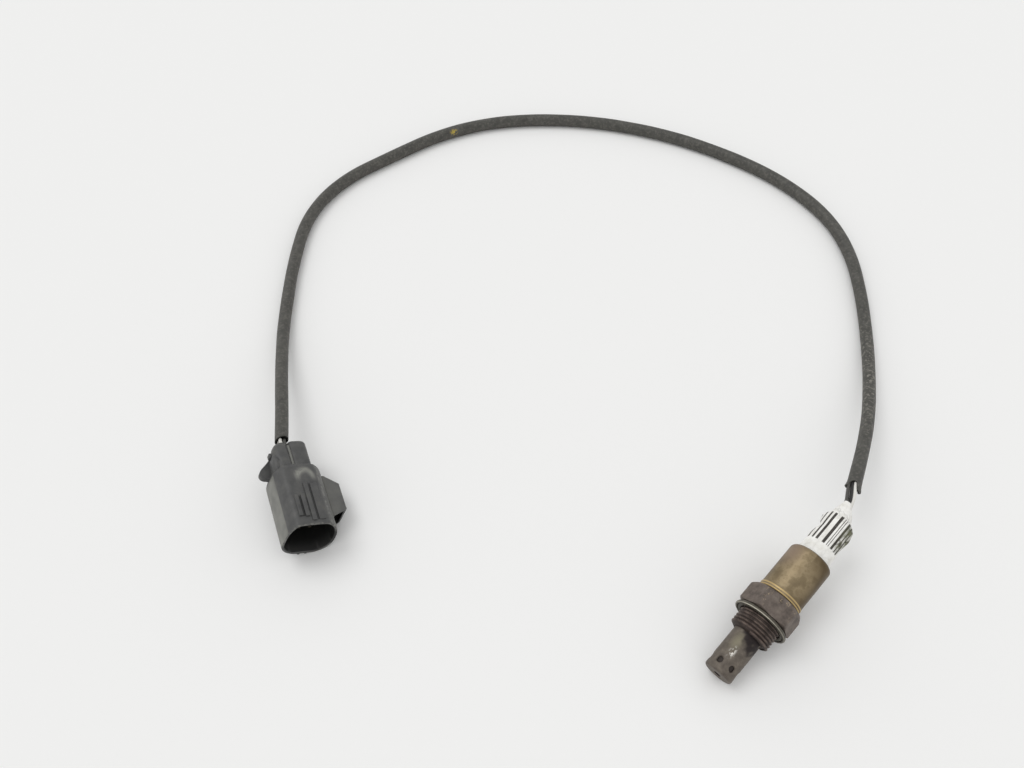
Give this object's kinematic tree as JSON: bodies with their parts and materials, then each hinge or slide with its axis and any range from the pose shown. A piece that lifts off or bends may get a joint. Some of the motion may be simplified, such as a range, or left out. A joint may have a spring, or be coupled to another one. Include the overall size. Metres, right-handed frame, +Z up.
{
  "type": "exhaust oxygen sensor",
  "caption": "Used exhaust oxygen sensor with threaded hexagon body, vented tip, sheathed lead in an open loop and a plug with a side bracket.",
  "frame": {"origin": "middle of the seal seat, on the sensor's axis where the hexagon's front face meets the thread", "axes": "+X the way the tip points, seen from above; the axis leans nose down by about 12 degrees, as the sensor lies on its tip and gasket; +Z up, square to the surface it lies on; +Y to the left of the tip"},
  "size_m": [0.3688, 0.3615, 0.0303],
  "materials": {
    "shell_steel": "used steel, browned by heat, edges scuffed bright",
    "gasket_steel": "dull folded steel with a bright rim",
    "tip_steel": "heat-tinted steel with soot",
    "cover_steel": "drawn steel tinted gold and brown by heat",
    "spring_steel": "plain",
    "contact_metal": "tinned",
    "white_ceramic": "matte fired ceramic",
    "talc": "pressed powder",
    "grommet_rubber": "soft black",
    "seal_rubber": "soft silicone",
    "label_paper": "creased, stained wrap with printed bars",
    "sheath_rubber": "matte dark grey sleeving",
    "plug_plastic": "moulded dark grey",
    "cap_plastic": "moulded dark grey",
    "white_wire": "insulation",
    "grey_wire": "insulation",
    "black_wire": "insulation"
  },
  "bodies": {
    "root": {"shell_housing": "shell_steel", "seal_gasket": "gasket_steel", "outer_protection_tube": "tip_steel", "inner_protection_tube": "tip_steel", "sensing_element": "white_ceramic", "front_ceramic_bush": "white_ceramic", "talc_ring": "talc", "rear_ceramic_bush": "white_ceramic", "crimp_ring": "shell_steel", "contact_carrier": "white_ceramic", "carrier_spring": "spring_steel", "rear_cover": "cover_steel", "wire_grommet": "grommet_rubber", "paper_label": "label_paper", "cable_sheath": "sheath_rubber", "connector_housing": "plug_plastic", "rear_cap": "cap_plastic", "terminal_lock": "cap_plastic", "contact_strip_1": "contact_metal", "terminal_pin_1": "contact_metal", "wire_seal_1": "seal_rubber", "lead_wire_1": "white_wire", "plug_wire_1": "grey_wire", "contact_strip_2": "contact_metal", "terminal_pin_2": "contact_metal", "wire_seal_2": "seal_rubber", "lead_wire_2": "black_wire", "plug_wire_2": "white_wire", "contact_strip_3": "contact_metal", "terminal_pin_3": "contact_metal", "wire_seal_3": "seal_rubber", "lead_wire_3": "white_wire", "plug_wire_3": "black_wire", "contact_strip_4": "contact_metal", "terminal_pin_4": "contact_metal", "wire_seal_4": "seal_rubber", "lead_wire_4": "grey_wire", "plug_wire_4": "white_wire"}
  },
  "joints": []
}
